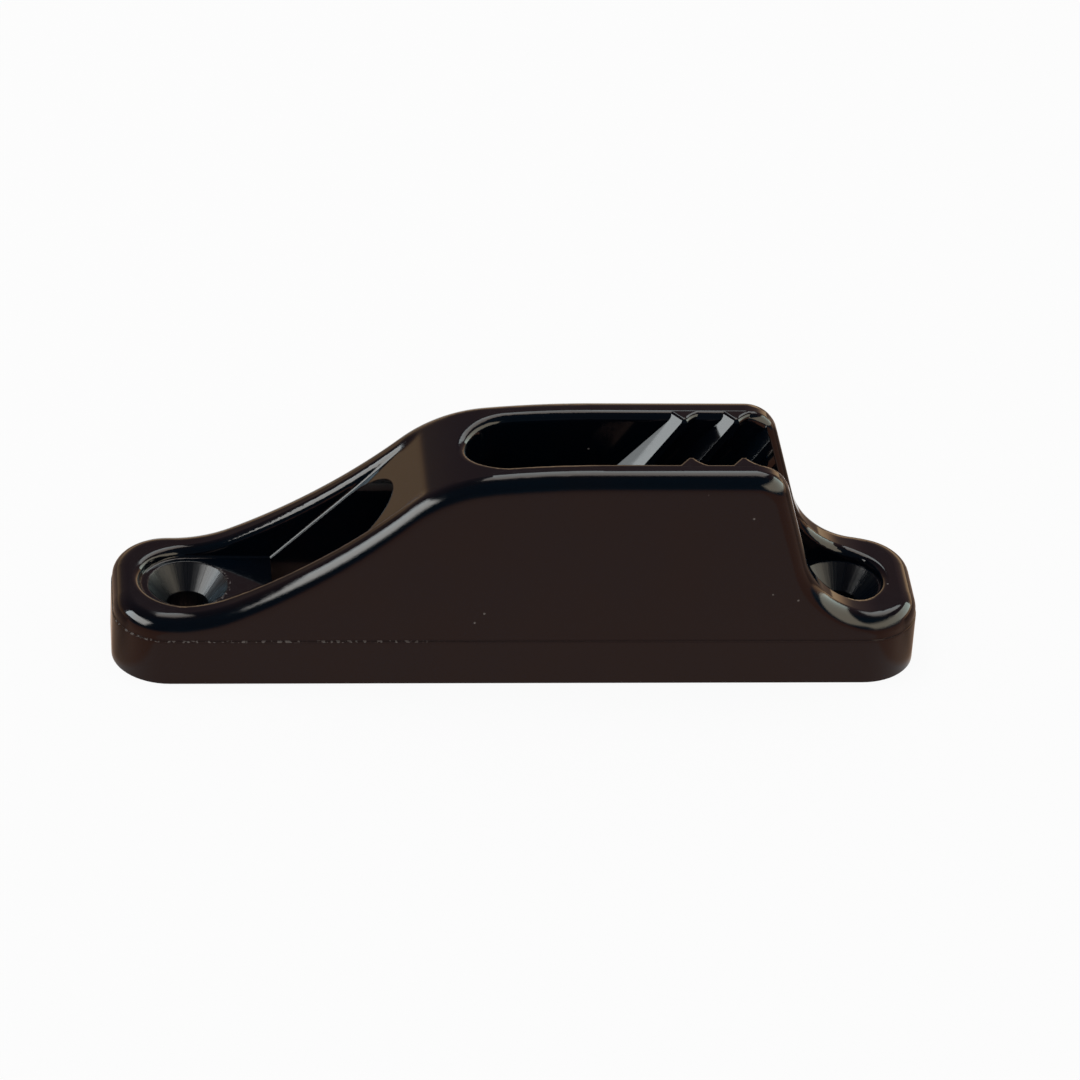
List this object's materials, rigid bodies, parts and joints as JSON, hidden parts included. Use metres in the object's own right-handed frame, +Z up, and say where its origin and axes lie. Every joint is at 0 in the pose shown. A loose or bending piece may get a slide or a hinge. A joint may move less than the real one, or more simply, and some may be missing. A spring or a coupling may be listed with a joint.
{
  "type": "jam cleat",
  "caption": "One-piece moulded jam cleat with a fairlead tunnel under its bridge, slanted teeth in a tapered groove and countersunk screw holes.",
  "frame": {"origin": "middle of the base, on the deck", "axes": "+X points along the cleat to the rope's free end, the loaded rope comes in from -X; +Z points up from the deck; the XZ plane is the plane of symmetry"},
  "size_m": [0.082, 0.0168, 0.0241],
  "materials": {
    "nylon": "glossy black-brown nylon, as moulded"
  },
  "bodies": {
    "root": {"cleat_body": "nylon"}
  },
  "joints": []
}
